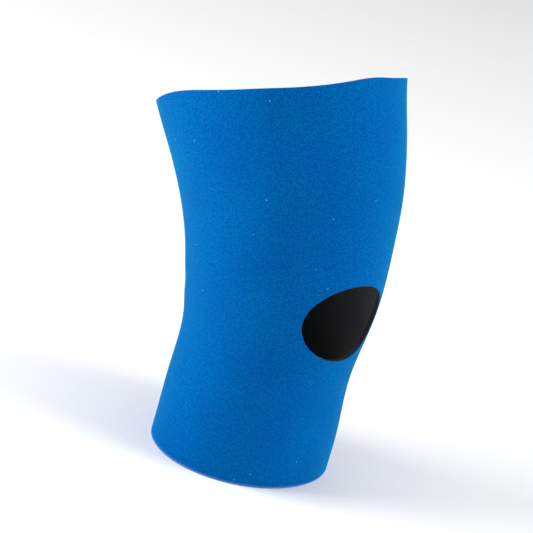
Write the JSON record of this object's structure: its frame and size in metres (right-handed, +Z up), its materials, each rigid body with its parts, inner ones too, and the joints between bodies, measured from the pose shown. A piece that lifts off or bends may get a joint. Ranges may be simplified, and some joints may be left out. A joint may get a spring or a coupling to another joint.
{
  "type": "knee brace",
  "caption": "Pull-on open-patella knee sleeve of fabric-faced neoprene foam, a slightly bent tapering tube with an oval kneecap opening and a zigzagged back seam.",
  "frame": {"origin": "on the floor under the middle of the whole sleeve, which stands on its calf rim", "axes": "+Z up along the calf to the thigh, kneecap opening faces -Y, back seam faces +Y, X is the wearer's side to side"},
  "size_m": [0.152, 0.1792, 0.2643],
  "materials": {
    "outer_fabric": "royal blue nylon jersey, matt with a soft sheen",
    "foam": "black closed-cell neoprene foam, matt",
    "lining": "black nylon jersey, matt",
    "cement": "black neoprene cement, satin",
    "thread": "blue polyester thread, satin"
  },
  "bodies": {
    "calf_part": {"knee_outer_fabric": "outer_fabric", "knee_foam_core": "foam", "knee_lining": "lining", "knee_seam_cement": "cement", "knee_outer_stitching": "thread", "knee_inner_stitching": "thread", "calf_outer_fabric": "outer_fabric", "calf_foam_core": "foam", "calf_lining": "lining", "calf_seam_cement": "cement", "calf_outer_stitching": "thread", "calf_inner_stitching": "thread", "calf_bartack": "thread"},
    "thigh_part": {"thigh_outer_fabric": "outer_fabric", "thigh_foam_core": "foam", "thigh_lining": "lining", "thigh_seam_cement": "cement", "thigh_outer_stitching": "thread", "thigh_inner_stitching": "thread", "thigh_bartack": "thread"}
  },
  "joints": [
    {"name": "knee_flex", "type": "hinge", "parent": "calf_part", "child": "thigh_part", "pos_m": [0, -0.01813, 0.10262], "axis": [-1, 0, 0], "range_deg": [-22, 88], "stiffness_Nm_per_rad": 1, "deforming": ["knee_outer_fabric", "knee_foam_core", "knee_lining", "knee_seam_cement", "knee_outer_stitching", "knee_inner_stitching"]}
  ]
}
